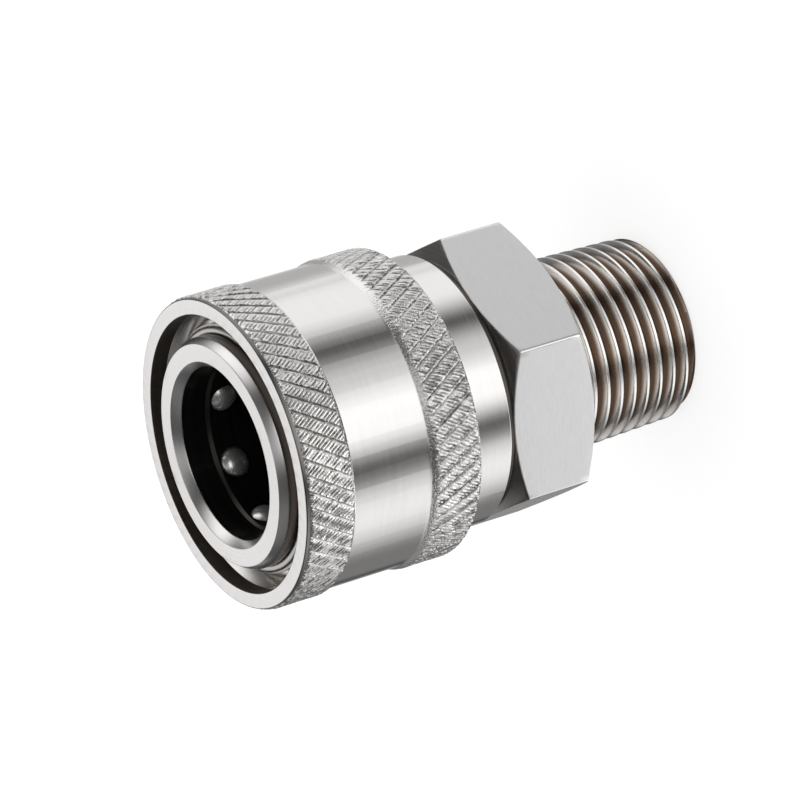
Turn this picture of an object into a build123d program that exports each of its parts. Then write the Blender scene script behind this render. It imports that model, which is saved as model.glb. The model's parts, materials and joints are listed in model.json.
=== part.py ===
from build123d import *
import os
from math import atan, ceil, cos, degrees, radians, sin, tan

# A pressure washer quick connector: the socket half, with a male pipe thread behind it.
# Lengths are millimetres. It stands on the end of its thread, at z = 0, and the mouth is up.
# A depth is measured down the axis from the nose face. The plug's socket drives the radii.

# Body, stacked along the axis from the thread's end face
thread_length = 13.6
hex_length = 8.3
relief_length = 0.5
barrel_length = 5.6
tube_length = 16.4

# Tapered pipe thread, right-handed, 18 threads to the inch
thread_pitch = 25.4 / 18
thread_angle = 60
thread_crest_width = 0.12
thread_root_width = 0.03
thread_end_radius = 8.33
thread_taper = 1 / 32
thread_chamfer = 0.6
first_crest_z = 1.005

# Turned outside of the body, and the wrench hexagon behind it
nose_chamfer_width = 0.46
nose_chamfer_depth = 0.63
edge_break = 0.2
relief_depth = 0.35
flat_step = 0.25
hex_chamfer_angle = 30

# Socket for the plug, and the water way behind it
socket_radius = 7.50
socket_depth = 9.4
entry_step = 0.25
entry_depth = 3.2
mouth_chamfer_width = 0.59
mouth_chamfer_depth = 0.76
seal_bore_step = 1.05
bore_step_angle = 45
water_radius = 4.75
water_chamfer = 0.5

# Seal in its groove behind the locking balls
o_ring_wire_radius = 1.31
seal_reach = 0.39
seal_clearance = 0.02
seal_side_room = 0.78
seal_groove_wall = 0.75
seal_bore_tail = 1.8

# Locking balls in their tapered seats
ball_count = 8
ball_radius = 1.75
ball_protrusion = 0.45
ball_groove_wall = 0.25
ball_first_angle = 32.5
ball_clearance = 0.03
ball_hole_clearance = 0.05
ball_seat_angle = 20
ball_play = 0.10

# Retaining ring that the sleeve rests against
ring_wire_radius = 0.60
ring_depth = 2.34
ring_groove_cut = 0.43
ring_clearance = 0.02
ring_side_clearance = 0.04
ring_gap_angle = 24
catch_angle = 45
catch_clearance = 0.03

# Sleeve: its walls, and its lengths from the front face back to the barrel that it covers
sleeve_wall = 1.63
rim_step = 0.20
rim_wall = 1.42
rim_chamfer_width = 0.17
rim_length = 0.43
front_band_length = 4.10
bevel_length = 0.34
waist_step = 0.30
flare_length = 0.80
rear_band_length = 3.98
rear_edge = 0.20
sleeve_cover = 1.47
mouth_depth = 1.5
mouth_cone_width = 0.90
land_lead = 0.30
land_length = 3.0
land_clearance = 0.29
sleeve_clearance = 0.12
rear_chamfer = 0.25

# Return spring behind the locking land
spring_wire_radius = 0.60
spring_turns = 2.75
spring_tube_clearance = 0.36
spring_cover_clearance = 0.33
spring_end_clearance = 0.05

# Heights worked out from the stack
hex_bottom = thread_length
hex_top = hex_bottom + hex_length
barrel_bottom = hex_top + relief_length
barrel_top = barrel_bottom + barrel_length
nose_z = barrel_top + tube_length
ring_z = nose_z - ring_depth
ring_groove_half = ring_wire_radius + ring_side_clearance
ball_hole_radius = ball_radius + ball_hole_clearance
ball_z = ring_z - ring_groove_half - ball_groove_wall - ball_hole_radius

# Radii worked out from the socket outwards: balls, land, tube, spring, barrel, sleeve and hexagon
ball_centre_radius = socket_radius - ball_protrusion + ball_radius
land_radius = ball_centre_radius + ball_radius + ball_play
tube_radius = land_radius - land_clearance
spring_radius = tube_radius + spring_tube_clearance + spring_wire_radius
barrel_radius = spring_radius + spring_wire_radius + spring_cover_clearance
hex_across_flats = 2 * (barrel_radius - flat_step)
sleeve_bore_radius = barrel_radius + sleeve_clearance
knurl_radius = sleeve_bore_radius + sleeve_wall
rim_radius = knurl_radius - rim_step
waist_radius = knurl_radius - waist_step
mouth_radius = rim_radius - rim_wall

# The retaining ring, and where the sleeve rests on it
ring_groove_radius = tube_radius - ring_groove_cut
ring_radius = ring_groove_radius + ring_clearance + ring_wire_radius
catch_reach = ring_wire_radius + catch_clearance
catch_radius = ring_radius + catch_reach * sin(radians(catch_angle))
catch_z = ring_z - catch_reach * cos(radians(catch_angle))
sleeve_front_z = catch_z + mouth_depth + mouth_cone_width
sleeve_rear_z = barrel_top - sleeve_cover
land_top_z = ball_z + land_lead
land_bottom_z = land_top_z - land_length

# Bores inside the socket, and the seal's groove between them
entry_radius = socket_radius + entry_step
seal_bore_radius = socket_radius - seal_bore_step
bore_step_slope = tan(radians(bore_step_angle))
seal_bore_top = nose_z - socket_depth - seal_bore_step * bore_step_slope
seal_groove_top = seal_bore_top - seal_groove_wall
seal_groove_bottom = seal_groove_top - 2 * o_ring_wire_radius - seal_side_room
seal_bore_bottom = seal_groove_bottom - seal_bore_tail
seal_groove_radius = seal_bore_radius - seal_reach + 2 * o_ring_wire_radius + seal_clearance


def turned(points):
    """A solid of revolution about Z from its outline in (radius, height)."""
    face = make_face(Plane.XZ * Polyline(*points, close=True))
    return revolve(face, Axis.Z)


def thread_groove():
    """The tool that cuts the thread: the groove's section swept along a helix on the taper's cone."""
    flank = tan(radians(thread_angle / 2))
    half_width = (thread_pitch - thread_crest_width) / 2
    half_root = thread_root_width / 2
    depth = (half_width - half_root) / flank
    start_z = first_crest_z - 1.5 * thread_pitch
    turns = ceil((thread_length - start_z) / thread_pitch) + 1
    start_radius = thread_end_radius + start_z * thread_taper
    helix = Helix(
        thread_pitch, turns * thread_pitch, start_radius, cone_angle=degrees(atan(thread_taper))
    )
    path = Pos(0, 0, start_z) * helix
    section = Plane(origin=path @ 0, x_dir=(1, 0, 0), z_dir=(0, 1, 0)) * Polyline(
        (-depth, -half_root),
        (0, -half_width),
        (depth, -half_width),
        (depth, half_width),
        (0, half_width),
        (-depth, half_root),
        close=True,
    )
    return sweep(make_face(section), path, is_frenet=True)


def pipe_thread():
    """The tapered pipe thread: a cone with a chamfered end, and the groove cut round it."""
    blank = turned([
        (0, 0),
        (thread_end_radius - thread_chamfer, 0),
        (thread_end_radius + thread_chamfer * thread_taper, thread_chamfer),
        (thread_end_radius + thread_length * thread_taper, thread_length),
        (0, thread_length),
    ])
    return blank - thread_groove()


def hexagon():
    """The wrench hexagon: a prism whose corners are turned off at both ends."""
    corner_radius = hex_across_flats / 2 / cos(radians(30))
    drop = (corner_radius - hex_across_flats / 2) * tan(radians(hex_chamfer_angle))
    prism = extrude(
        Plane.XY.offset(hex_bottom) * RegularPolygon(corner_radius, 6), hex_length
    )
    blank = turned([
        (0, hex_bottom),
        (hex_across_flats / 2, hex_bottom),
        (corner_radius, hex_bottom + drop),
        (corner_radius, hex_top - drop),
        (hex_across_flats / 2, hex_top),
        (0, hex_top),
    ])
    return prism & blank


def ball_seat(angle):
    """The tool that bores one ball hole: straight outside, and tapered so the ball can't fall in."""
    slope = tan(radians(ball_seat_angle))
    reach = ball_radius + ball_clearance
    touch_height = ball_centre_radius - reach * sin(radians(ball_seat_angle))
    touch_radius = reach * cos(radians(ball_seat_angle))
    shoulder_height = touch_height + (ball_hole_radius - touch_radius) / slope
    inner_height = socket_radius - ball_protrusion
    inner_radius = touch_radius - (touch_height - inner_height) * slope
    cutter = turned([
        (0, inner_height),
        (inner_radius, inner_height),
        (ball_hole_radius, shoulder_height),
        (ball_hole_radius, tube_radius + ball_radius),
        (0, tube_radius + ball_radius),
    ])
    return Pos(0, 0, ball_z) * Rot(0, 0, angle) * Rot(0, 90, 0) * cutter


def body():
    """The turned body: nose, ball cage, barrel, hexagon and tapered thread in one piece."""
    relief_radius = barrel_radius - relief_depth
    outside = turned([
        (0, hex_top - relief_length),
        (relief_radius, hex_top - relief_length),
        (relief_radius, barrel_bottom),
        (barrel_radius - edge_break, barrel_bottom),
        (barrel_radius, barrel_bottom + edge_break),
        (barrel_radius, barrel_top - edge_break),
        (barrel_radius - edge_break, barrel_top),
        (tube_radius, barrel_top),
        (tube_radius, ring_z - ring_groove_half),
        (ring_groove_radius, ring_z - ring_groove_half),
        (ring_groove_radius, ring_z + ring_groove_half),
        (tube_radius, ring_z + ring_groove_half),
        (tube_radius, nose_z - nose_chamfer_depth),
        (tube_radius - nose_chamfer_width, nose_z),
        (0, nose_z),
    ])
    entry_bottom = nose_z - entry_depth
    water_top = seal_bore_bottom - (seal_bore_radius - water_radius) * bore_step_slope
    passage = turned([
        (0, 0),
        (water_radius + water_chamfer, 0),
        (water_radius, water_chamfer),
        (water_radius, water_top),
        (seal_bore_radius, seal_bore_bottom),
        (seal_bore_radius, seal_groove_bottom),
        (seal_groove_radius, seal_groove_bottom),
        (seal_groove_radius, seal_groove_top),
        (seal_bore_radius, seal_groove_top),
        (seal_bore_radius, seal_bore_top),
        (socket_radius, nose_z - socket_depth),
        (socket_radius, entry_bottom - entry_step * bore_step_slope),
        (entry_radius, entry_bottom),
        (entry_radius, nose_z - mouth_chamfer_depth),
        (entry_radius + mouth_chamfer_width, nose_z),
        (0, nose_z),
    ])
    solid = outside + hexagon() + pipe_thread() - passage
    for index in range(ball_count):
        solid -= ball_seat(ball_first_angle + index * 360 / ball_count)
    return solid


def sleeve():
    """The locking sleeve: knurled grip bands outside, mouth cone, catch and locking land inside."""
    front, rear = sleeve_front_z, sleeve_rear_z
    front_band_end = front - rim_length - front_band_length
    rear_band_start = rear + rear_edge + rear_band_length
    cone_top = front - mouth_depth
    outline = Plane.XZ * Polyline(
        (mouth_radius, front),
        (rim_radius - rim_chamfer_width, front),
        (rim_radius, front - rim_chamfer_width),
        (rim_radius, front - rim_length),
        (knurl_radius, front - rim_length),
        (knurl_radius, front_band_end),
        (waist_radius, front_band_end - bevel_length),
        (waist_radius, rear_band_start + flare_length),
    )
    flare = Plane.XZ * TangentArc(
        (waist_radius, rear_band_start + flare_length),
        (knurl_radius, rear_band_start),
        tangent=(0, -1),
    )
    inside = Plane.XZ * Polyline(
        (knurl_radius, rear_band_start),
        (knurl_radius, rear + rear_edge),
        (knurl_radius - rear_edge, rear),
        (sleeve_bore_radius + rear_chamfer, rear),
        (sleeve_bore_radius, rear + rear_chamfer),
        (sleeve_bore_radius, land_bottom_z),
        (land_radius, land_bottom_z),
        (land_radius, land_top_z),
        (catch_radius, catch_z),
        (mouth_radius - mouth_cone_width, catch_z),
        (mouth_radius, cone_top),
        (mouth_radius, front),
    )
    return revolve(make_face([*outline.edges(), *flare.edges(), *inside.edges()]), Axis.Z)


def sleeve_spring():
    """The return spring, a coil of round wire between the barrel's shoulder and the land."""
    bottom = barrel_top + spring_end_clearance + spring_wire_radius
    top = land_bottom_z - spring_end_clearance - spring_wire_radius
    height = top - bottom
    coil = Pos(0, 0, bottom) * Helix(height / spring_turns, height, spring_radius)
    wire = Plane(coil @ 0, z_dir=coil % 0) * Circle(spring_wire_radius)
    return sweep(wire, coil, is_frenet=True)


def retaining_ring():
    """The split ring of round wire in the groove behind the nose."""
    section = Plane.XZ * Pos(ring_radius, ring_z) * Circle(ring_wire_radius)
    return revolve(section, Axis.Z, 360 - ring_gap_angle)


def o_ring():
    """The seal for the plug's tip, against the outer wall of its groove."""
    centre_radius = seal_groove_radius - seal_clearance - o_ring_wire_radius
    centre_z = (seal_groove_top + seal_groove_bottom) / 2
    return revolve(Plane.XZ * Pos(centre_radius, centre_z) * Circle(o_ring_wire_radius), Axis.Z)


def ball(index):
    """One locking ball, in its seat."""
    angle = radians(ball_first_angle + index * 360 / ball_count)
    place = (ball_centre_radius * cos(angle), ball_centre_radius * sin(angle), ball_z)
    return Pos(*place) * Sphere(ball_radius)


parts = {
    "body": body(),
    "sleeve": sleeve(),
    "sleeve_spring": sleeve_spring(),
    "retaining_ring": retaining_ring(),
    "o_ring": o_ring(),
}
for index in range(ball_count):
    parts[f"locking_ball_{index + 1}"] = ball(index)

os.makedirs("parts", exist_ok=True)
for name, solid in parts.items():
    export_step(solid, f"parts/{name}.step")
    print(name, round(solid.volume, 1))
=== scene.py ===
# %% [markdown]
# # A pressure washer quick connector
#
# The object is the socket half of a quick connector: a steel body with a pipe thread, a hexagon and a
# nose, and a knurled sleeve that slides back against a spring so that eight balls let the plug go. The
# solids come from a CAD model that is loaded first and never changed. Each visible piece is then made
# again as a fine surface, because a solid's plain facets would show in polished metal.

# %% Load the frame
import json
from math import cos, radians, sin
import bpy
import numpy as np
from mathutils import Matrix, Vector

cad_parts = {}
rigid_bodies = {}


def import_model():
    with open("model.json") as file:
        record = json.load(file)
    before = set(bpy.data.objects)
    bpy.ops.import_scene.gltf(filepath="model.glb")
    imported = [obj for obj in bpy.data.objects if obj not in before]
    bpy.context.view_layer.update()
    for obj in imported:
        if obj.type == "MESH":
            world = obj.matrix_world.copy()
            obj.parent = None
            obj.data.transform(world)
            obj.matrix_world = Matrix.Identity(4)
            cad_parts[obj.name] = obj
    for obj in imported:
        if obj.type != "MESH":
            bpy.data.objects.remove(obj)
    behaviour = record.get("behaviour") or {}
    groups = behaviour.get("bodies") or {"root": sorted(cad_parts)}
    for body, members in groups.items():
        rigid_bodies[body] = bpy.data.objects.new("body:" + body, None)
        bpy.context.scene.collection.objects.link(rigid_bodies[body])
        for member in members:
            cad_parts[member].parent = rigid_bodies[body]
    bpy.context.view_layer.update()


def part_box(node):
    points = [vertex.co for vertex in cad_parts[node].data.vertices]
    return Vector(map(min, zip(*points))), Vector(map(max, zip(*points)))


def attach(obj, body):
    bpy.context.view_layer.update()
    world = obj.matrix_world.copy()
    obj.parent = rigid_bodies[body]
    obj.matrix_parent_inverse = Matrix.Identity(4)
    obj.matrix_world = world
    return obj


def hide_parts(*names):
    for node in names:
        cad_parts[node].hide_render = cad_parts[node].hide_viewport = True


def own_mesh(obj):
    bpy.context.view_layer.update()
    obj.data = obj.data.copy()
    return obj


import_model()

# %% [markdown]
# ## Units and sizes
#
# Blender works in metres and a fitting is drawn in millimetres, so every shape below is worked out in
# millimetres and scaled once, when its mesh is made. Sizes that the CAD model also has are read from the
# boxes of its pieces, and the rest are the turned sizes of the two main pieces.

# %% Sizes taken from the CAD pieces
MM = 0.001


def box_mm(node):
    """Lowest and highest corner of a CAD piece, in millimetres."""
    low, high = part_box(node)
    return np.array(low) / MM, np.array(high) / MM


_, body_high = box_mm("body")
sleeve_low, sleeve_high = box_mm("sleeve")
ball_low, ball_high = box_mm("locking_ball_1")
spring_low, spring_high = box_mm("sleeve_spring")
ring_low, ring_high = box_mm("retaining_ring")
seal_low, seal_high = box_mm("o_ring")
nose_z = body_high[2]
front_z = sleeve_high[2]
rear_z = sleeve_low[2]
ball_z = (ball_low[2] + ball_high[2]) / 2
ring_z = (ring_low[2] + ring_high[2]) / 2
seal_z = (seal_low[2] + seal_high[2]) / 2
print("nose at", round(nose_z, 2), "sleeve from", round(rear_z, 2), "to", round(front_z, 2))

# %% Sizes of the body
INCH = 25.4
PITCH = INCH / 18
THREAD_TOP = 13.6
THREAD_END_RADIUS = 8.33
THREAD_TAPER = 1 / 32
THREAD_DEPTH = 1.092
THREAD_CHAMFER = 0.6
CREST_WIDTH = 0.24
FIRST_CREST_Z = 1.005
HEX_APOTHEM = 12.0
HEX_TOP = 21.9
HEX_EDGE_RADIUS = 0.30
CHAMFER_SLOPE = np.tan(np.radians(30))
CHAMFER_RADIUS = 11.9
RELIEF_TOP = 22.4
BARREL_RADIUS = 12.25
BARREL_TOP = 28.0
TUBE_RADIUS = 10.36
RING_GROOVE_RADIUS = 9.93
NOSE_CHAMFER = (0.46, 0.73)
MOUTH_CHAMFER = (0.59, 0.76)
ENTRY_RADIUS = 7.75
ENTRY_DEPTH = 3.2
BORE_RADIUS = 7.5
BORE_DEPTH = 9.4
SEAL_BORE_RADIUS = 6.45
SEAL_BORE_DEPTH = 16.4
SEAL_GROOVE_RADIUS = 8.70
SEAL_GROOVE_DEPTH = 11.2
SEAL_GROOVE_WIDTH = 3.4
WATER_RADIUS = 4.75
WATER_CHAMFER = 0.5
BALL_COUNT = 8
FIRST_BALL_ANGLE = 32.5
BALL_RADIUS = 1.75
HOLE_RADIUS = 1.80
SEAT_SLOPE = np.tan(np.radians(20))
SEAT_HEIGHT = 8.541
RING_CLEARANCE = 0.04
print("thread pitch", round(PITCH, 3), "and", HEX_APOTHEM * 2, "across the flats")

# %% Sizes of the sleeve, as depths behind its front face
RIM_RADIUS = 13.80
RIM_CHAMFER = 0.06
KNURL_RADIUS = 14.00
WAIST_RADIUS = 13.70
RIM_LENGTH = 0.33
FRONT_BAND_END = 4.53
BEVEL_LENGTH = 0.34
FLARE_LENGTH = 0.80
REAR_BAND_LENGTH = 3.98
REAR_EDGE = 0.20
MOUTH_RADIUS = 12.38
MOUTH_DEPTH = 1.5
MOUTH_CONE = 0.90
CATCH_RADIUS = 10.995
LAND_RADIUS = 10.65
LAND_LEAD = 0.30
LAND_LENGTH = 3.0
SLEEVE_BORE_RADIUS = 12.37
REAR_CHAMFER = 0.25
land_top = ball_z + LAND_LEAD
land_bottom = land_top - LAND_LENGTH
front_band_bottom = FRONT_BAND_END + BEVEL_LENGTH
rear_band_bottom = front_z - rear_z
rear_band_full = rear_band_bottom - REAR_EDGE
rear_band_top = rear_band_full - REAR_BAND_LENGTH
waist_bottom = rear_band_top - FLARE_LENGTH
print("waist from", round(front_band_bottom, 2), "to", round(waist_bottom, 2), "mm behind the front face")

# %% [markdown]
# ## Camera
#
# The photograph was taken with a long lens, so its edges run almost parallel. The camera looks down at the
# mouth from the side and is rolled by more than a right angle, because the photograph shows the connector
# lying on its side and this one stands on its thread. Azimuth, elevation, distance and roll were solved
# from the outlines of the rim, the hexagon and the thread.

# %% Camera
CAMERA_AZIMUTH = 115.766
CAMERA_ELEVATION = 27.998
CAMERA_ROLL = 106.829
CAMERA_DISTANCE = 0.49683
CAMERA_AIM = Vector((0.000603, -0.001464, 0.025174))
CAMERA_LENS = 255.07
SENSOR_WIDTH = 36.0


def make_camera():
    """Stands at the given angles round the aim point. Up leans from the level up towards the level right."""
    azimuth, elevation, roll = (radians(a) for a in (CAMERA_AZIMUTH, CAMERA_ELEVATION, CAMERA_ROLL))
    back = Vector((cos(elevation) * cos(azimuth), cos(elevation) * sin(azimuth), sin(elevation)))
    level_right = Vector((0, 0, 1)).cross(back).normalized()
    level_up = back.cross(level_right)
    up = cos(roll) * level_up + sin(roll) * level_right
    right = up.cross(back)
    data = bpy.data.cameras.new("camera")
    data.lens = CAMERA_LENS
    data.sensor_width = SENSOR_WIDTH
    data.clip_end = 50.0
    camera = bpy.data.objects.new("camera", data)
    bpy.context.scene.collection.objects.link(camera)
    turn = Matrix((right, up, back)).transposed().to_4x4()
    camera.matrix_world = Matrix.Translation(CAMERA_AIM + CAMERA_DISTANCE * back) @ turn
    bpy.context.scene.camera = camera
    print("camera at", [round(v, 3) for v in camera.matrix_world.translation])


make_camera()
bpy.context.scene.view_settings.view_transform = "Standard"

# %% [markdown]
# ## Grids, welding and meshes
#
# Every surface here is a grid of points: rows follow a profile and columns go round the axis. Screw and
# Boolean modifiers could do it too, but they leave stray corners, which polished metal shows. Grids are made
# one by one, then welded where their edges meet into one closed skin. The fourth number of each point tells
# how deep a tool has cut there, and the materials read it.

# %% Grids


def spin(profile, angles, cut=0.0):
    """Grid from a profile: row i is the circle at (radius, height) number i, with a point at every angle."""
    radius, height = np.asarray(profile, float).T
    grid = np.empty((len(radius), len(angles), 4))
    grid[..., 0] = radius[:, None] * np.cos(angles)
    grid[..., 1] = radius[:, None] * np.sin(angles)
    grid[..., 2] = height[:, None]
    grid[..., 3] = cut
    return grid


def polar(radius, angle, height, cut=0.0):
    """Points at radius and angle round the axis, as an array of x, y, height and cut."""
    radius, angle, height, cut = np.broadcast_arrays(radius, angle, height, cut)
    return np.stack([radius * np.cos(angle), radius * np.sin(angle), height, cut], axis=-1)


def patch(grid, finish, climb=0):
    """Points, faces and material number of a grid that closes round the axis. The faces look outwards where
    the rows go up an outer wall. Climb is how many rows higher each column's right-hand neighbour is joined,
    as a thread needs it behind its last column. Rows off the end join the end row."""
    rows, columns = grid.shape[:2]
    index = np.arange(rows * columns).reshape(rows, columns)
    row = np.clip(np.arange(rows)[:, None] + climb, 0, rows - 1)
    right = row * columns + (np.arange(columns) + 1) % columns
    quads = np.stack([index[:-1], right[:-1], right[1:], index[1:]], axis=-1)
    return grid.reshape(-1, 4), quads.reshape(-1, 4), finish


def flipped(piece):
    """The same faces, looking the other way."""
    points, quads, finish = piece
    return points, quads[:, ::-1], finish


def rounded(outline, edge, steps=3):
    """The outline with each corner cut back by edge and bridged by a parabola between the two cuts."""
    points = np.asarray(outline, float)
    t = np.linspace(0, 1, steps + 1)[:, None]
    smooth = [points[:1]]
    for before, corner, after in zip(points[:-2], points[1:-1], points[2:]):
        back, ahead = before - corner, after - corner
        reach = min(edge, 0.4 * np.linalg.norm(back), 0.4 * np.linalg.norm(ahead))
        start = corner + reach * back / np.linalg.norm(back)
        end = corner + reach * ahead / np.linalg.norm(ahead)
        smooth.append((1 - t) ** 2 * start + 2 * t * (1 - t) * corner + t**2 * end)
    return np.vstack([*smooth, points[-1:]])


# %% Welding and meshes
SHARP_BEND = 28


def weld(patches):
    """Joins patches: points that round to the same tenth of a micron become one, and faces that lose a
    corner become triangles."""
    points = np.vstack([p for p, _, _ in patches])
    starts = np.cumsum([0] + [len(p) for p, _, _ in patches[:-1]])
    quads = np.vstack([q + s for (_, q, _), s in zip(patches, starts)])
    finish = np.concatenate([np.full(len(q), f) for _, q, f in patches])
    _, first, number = np.unique(
        np.round(points[:, :3], 4), axis=0, return_index=True, return_inverse=True
    )
    corners = number.reshape(-1)[quads]
    lost = corners == np.roll(corners, -1, axis=1)
    crossed = (corners[:, 0] == corners[:, 2]) | (corners[:, 1] == corners[:, 3])
    whole = ~lost.any(axis=1) & ~crossed
    faces, marks = [corners[whole]], [finish[whole]]
    for side in range(4):
        chosen = lost[:, side] & (lost.sum(axis=1) == 1) & ~crossed
        faces.append(np.delete(corners[chosen], side, axis=1))
        marks.append(finish[chosen])
    return points[first], faces, marks


def new_object(name, mesh):
    """Puts a mesh into the scene at the origin, unturned and unscaled."""
    piece = bpy.data.objects.new(name, mesh)
    bpy.context.scene.collection.objects.link(piece)
    return piece


def make_piece(name, patches, materials, crease=None):
    """One smooth-shaded mesh, with the cut depth as a point attribute. A Weighted Normal modifier lets large
    faces keep their direction, and edges that bend by more than crease degrees stay sharp."""
    points, faces, marks = weld(patches)
    sizes = np.concatenate([np.full(len(f), f.shape[1]) for f in faces])
    mesh = bpy.data.meshes.new(name)
    mesh.vertices.add(len(points))
    mesh.vertices.foreach_set("co", (points[:, :3] * MM).ravel())
    mesh.loops.add(int(sizes.sum()))
    mesh.loops.foreach_set("vertex_index", np.concatenate([f.ravel() for f in faces]))
    mesh.polygons.add(len(sizes))
    mesh.polygons.foreach_set("loop_start", np.concatenate([[0], np.cumsum(sizes)[:-1]]))
    for material in materials:
        mesh.materials.append(material)
    mesh.polygons.foreach_set("material_index", np.concatenate(marks))
    mesh.update(calc_edges=True)
    mesh.attributes.new("cut", "FLOAT", "POINT").data.foreach_set("value", points[:, 3])
    mesh.validate()
    mesh.shade_smooth()
    if crease:
        mesh.set_sharp_from_angle(angle=radians(crease))
    piece = new_object(name, mesh)
    normals = piece.modifiers.new("flat faces stay flat", "WEIGHTED_NORMAL")
    normals.weight = 100
    normals.keep_sharp = bool(crease)
    print(name, "has", len(sizes), "faces")
    return piece


# %% [markdown]
# ## Materials
# All but the seal is stainless steel, and each surface shows the tool that made it: turning leaves fine
# rings, milling straight strokes, and a knurling wheel small bright torn faces. Roughness and a fine bump
# draw these marks. The base colour is painted darker where shade falls, in the mouth, the bore and the gaps,
# on chamfers and edges, and in the roots of knurl and thread. All patterns are noise on Object coordinates.
# The base colour hardly
# changes, and roughness and a fine bump do the rest. All patterns are noise on Object coordinates.

# %% Colour and nodes


def linear(code):
    """A colour written as sRGB hex, turned to linear: c / 12.92 near black, ((c + 0.055) / 1.055) ** 2.4
    above."""
    srgb = np.array([int(code[i:i + 2], 16) for i in (1, 3, 5)]) / 255
    rgb = np.where(srgb <= 0.04045, srgb / 12.92, ((srgb + 0.055) / 1.055) ** 2.4)
    return (*rgb, 1.0)


def add(tree, kind, inputs=None, **settings):
    """Adds a node. Settings go on the node. An input takes a number, a colour, another node's output, or the
    node itself, which stands for its first output in use."""
    node = tree.nodes.new(kind)
    for key, value in settings.items():
        setattr(node, key, value)
    for key, value in (inputs or {}).items():
        if isinstance(value, bpy.types.Node):
            value = next(output for output in value.outputs if output.enabled)
        if isinstance(value, bpy.types.NodeSocket):
            tree.links.new(value, node.inputs[key])
        else:
            node.inputs[key].default_value = value
    return node


def new_material(name):
    """An empty material with its node tree."""
    material = bpy.data.materials.new(name)
    material.use_nodes = True
    material.node_tree.nodes.clear()
    return material, material.node_tree


print("mid grey in linear:", round(linear("#808080")[0], 3))

# %% Tool marks
SLOW = 0.02
RISE = 0.6


def ring_marks(tree, line_mm):
    """Noise that changes quickly along the profile and slowly round the axis, as a lathe tool leaves it.
    The quick direction is radius + 0.6 height, which works on walls, end faces and cones."""
    coords = add(tree, "ShaderNodeTexCoord").outputs["Object"]
    x, y, z = add(tree, "ShaderNodeSeparateXYZ", {0: coords}).outputs
    flat = add(tree, "ShaderNodeCombineXYZ", {0: x, 1: y})
    radius = add(tree, "ShaderNodeVectorMath", {0: flat}, operation="LENGTH")
    along = add(tree, "ShaderNodeMath", {0: z, 1: RISE, 2: radius}, operation="MULTIPLY_ADD")
    slow = add(tree, "ShaderNodeVectorMath", {0: flat, 3: SLOW}, operation="SCALE")
    place = add(tree, "ShaderNodeSeparateXYZ", {0: slow}).outputs
    lines = add(tree, "ShaderNodeCombineXYZ", {0: place[0], 1: place[1], 2: along})
    return add(tree, "ShaderNodeTexNoise", {
        "Vector": lines, "Scale": 1 / (line_mm * MM), "Detail": 2.0, "Roughness": 0.6,
    })


def grain(tree, size_mm, scale=(1, 1, 1), detail=2.0):
    """Plain noise of a given size, drawn out where the scale is larger in one direction."""
    coords = add(tree, "ShaderNodeTexCoord").outputs["Object"]
    mapped = add(tree, "ShaderNodeMapping", {"Vector": coords, "Scale": scale})
    return add(tree, "ShaderNodeTexNoise", {"Vector": mapped, "Scale": 1 / (size_mm * MM), "Detail": detail})


def make_finish(name, pattern, colours, roughness, bump=0.0, depth_mm=0.03, tone=None, **shine):
    """A material. The function pattern draws the tool's marks, which set the roughness and the bump. Two
    colours are mixed, the first where the tone is 1, and the tone is the marks too unless another function
    draws it."""
    material, tree = new_material(name)
    marks = pattern(tree)
    look = {
        "Base Color": linear(colours[0]),
        "Roughness": add(tree, "ShaderNodeMapRange", {
            "Value": marks, "To Min": roughness[0], "To Max": roughness[1],
        }),
        **shine,
    }
    if len(colours) == 2:
        look["Base Color"] = add(tree, "ShaderNodeMix", {
            "Factor": tone(tree) if tone else marks, "A": linear(colours[1]), "B": linear(colours[0]),
        }, data_type="RGBA")
    if bump:
        look["Normal"] = add(tree, "ShaderNodeBump", {
            "Height": marks, "Strength": bump, "Distance": depth_mm * MM,
        })
    surface = add(tree, "ShaderNodeBsdfPrincipled", look)
    add(tree, "ShaderNodeOutputMaterial", {"Surface": surface})
    print(name)
    return material


# %% [markdown]
# ## Turned steel
#
# The waist, the barrel and the nose are turned and lightly polished. An even grey would do from far away,
# but close up the tool's rings show, drawn here a little coarser than a real feed. A turned surface scatters
# along the axis and hardly round it, so the reflected bands keep clean edges: that is the anisotropy, turned
# a quarter so that it runs along the axis.

# %% Turned steel


def turned_steel(name, light, dark, roughness, line_mm=0.12, bump=0.03):
    """Stainless steel off the lathe: base colour, roughness and bump all in rings."""
    return make_finish(
        name, lambda tree: ring_marks(tree, line_mm), (light, dark), (roughness - 0.03, roughness + 0.03),
        bump, **{"Metallic": 1.0, "Anisotropic": 0.4, "Anisotropic Rotation": 0.25},
    )


# Waist, barrel and nose wall: nearly white, with sharp grey bands, because they are polished.
polished_turning = turned_steel("polished turned stainless steel", "#F3F1EF", "#E9E7E5", 0.17)
# End faces: an even pale grey with a soft sheen, as a faced surface is left a little rougher.
face_turning = turned_steel("faced stainless steel", "#F6F4F3", "#F0EDEC", 0.28, bump=0.02)
# Mouth wall and inside of the sleeve: painted shade, dark and slightly brown, where little light gets into
# the narrow gap.
inside_turning_painted_shade = turned_steel("bored stainless steel in painted shade", "#6C645D", "#4C453F", 0.44)
# Turned chamfers of the hexagon: a middle grey that is painted shade, with rings left as cut.
chamfer_turning = turned_steel("chamfered stainless steel in painted shade", "#A8A5A2", "#84817E", 0.24, bump=0.06)
# Cone behind the mouth wall: bright and streaky, as the edge of a broad tool leaves it.
cone_turning = turned_steel("coned stainless steel", "#F6F3F0", "#DDD8D4", 0.18, bump=0.08)
# Bore: nearly black with faint rings, because it mirrors mostly itself.
bore_turning = turned_steel("bored stainless steel in shade", "#5C5957", "#2E2C2B", 0.30, 0.25, bump=0.25)
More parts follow.
